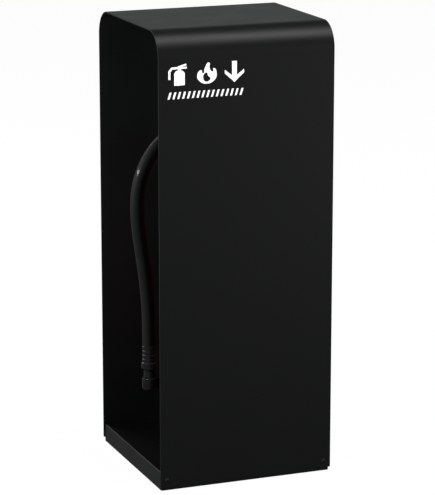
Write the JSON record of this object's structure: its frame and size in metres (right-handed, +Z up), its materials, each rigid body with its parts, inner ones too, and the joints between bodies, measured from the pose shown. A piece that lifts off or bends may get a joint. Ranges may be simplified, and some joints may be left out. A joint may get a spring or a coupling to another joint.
{
  "type": "fire extinguisher floor box",
  "caption": "Floor-standing box folded from one sheet, open at both sides, on a raised base tray, with a fire extinguisher and its hose standing inside.",
  "frame": {"origin": "on the floor under the middle of the box's footprint", "axes": "+Z up, -Y out of the closed front, +X to the right as seen from the front"},
  "size_m": [0.26, 0.255, 0.65],
  "materials": {
    "black_coat": "matt black powder coat on folded steel sheet",
    "zinc_steel": "zinc-plated steel",
    "black_screw": "black-finished screw",
    "red_paint": "gloss red enamel on the steel bottle",
    "black_plastic": "black moulded plastic",
    "cast_valve": "forged and machined light alloy",
    "lever_steel": "semi-gloss black enamel on pressed steel",
    "yellow_plastic": "yellow moulded plastic",
    "gauge_face": "white dial with red and green fields and plain marks",
    "gauge_pointer": "matt black pointer",
    "clear_window": "clear window",
    "hose_rubber": "glossy black rubber",
    "black_metal": "glossy black finish on turned metal"
  },
  "bodies": {
    "box": {"body_panel": "black_coat", "base_tray": "black_coat", "base_screws": "black_screw", "weld_nuts": "zinc_steel", "bottle": "red_paint", "foot_ring": "black_plastic", "cap_nut": "black_plastic", "valve_body": "cast_valve", "carry_handle": "lever_steel", "handle_rivet": "zinc_steel", "lever_pivot": "zinc_steel", "gauge_case": "zinc_steel", "gauge_dial": "gauge_face", "gauge_lens": "clear_window", "hose_nut": "cast_valve", "hose_sleeve": "black_metal", "hose": "hose_rubber", "nozzle_crimp": "black_metal", "nozzle_union": "black_metal", "nozzle": "black_metal", "nozzle_holder": "black_plastic", "holder_strap": "black_metal", "strap_screw": "zinc_steel"},
    "lever": {"squeeze_lever": "lever_steel"},
    "stem": {"valve_stem": "zinc_steel"},
    "pin": {"safety_pin": "zinc_steel", "pull_ring": "yellow_plastic"},
    "needle": {"gauge_needle": "gauge_pointer"}
  },
  "joints": [
    {"name": "lever_squeeze", "type": "hinge", "parent": "box", "child": "lever", "pos_m": [-0.018, 0, 0.534], "axis": [0, 1, 0], "range_deg": [0, 14], "stiffness_Nm_per_rad": 2, "springref_deg": -5.73},
    {"name": "stem_press", "type": "slide", "parent": "box", "child": "stem", "axis": [0, 0, -1], "range_m": [0, 0.0047]},
    {"name": "pin_pull", "type": "slide", "parent": "box", "child": "pin", "axis": [0, -1, 0], "range_m": [0, 0.045]},
    {"name": "needle_swing", "type": "hinge", "parent": "box", "child": "needle", "pos_m": [0, -0.0265, 0.4965], "axis": [0, -1, 0], "range_deg": [-60, 60], "stiffness_Nm_per_rad": 0.0002}
  ],
  "couplings": [
    {"joint": "stem_press", "follows": "lever_squeeze", "m_per_rad": 0.01858}
  ]
}
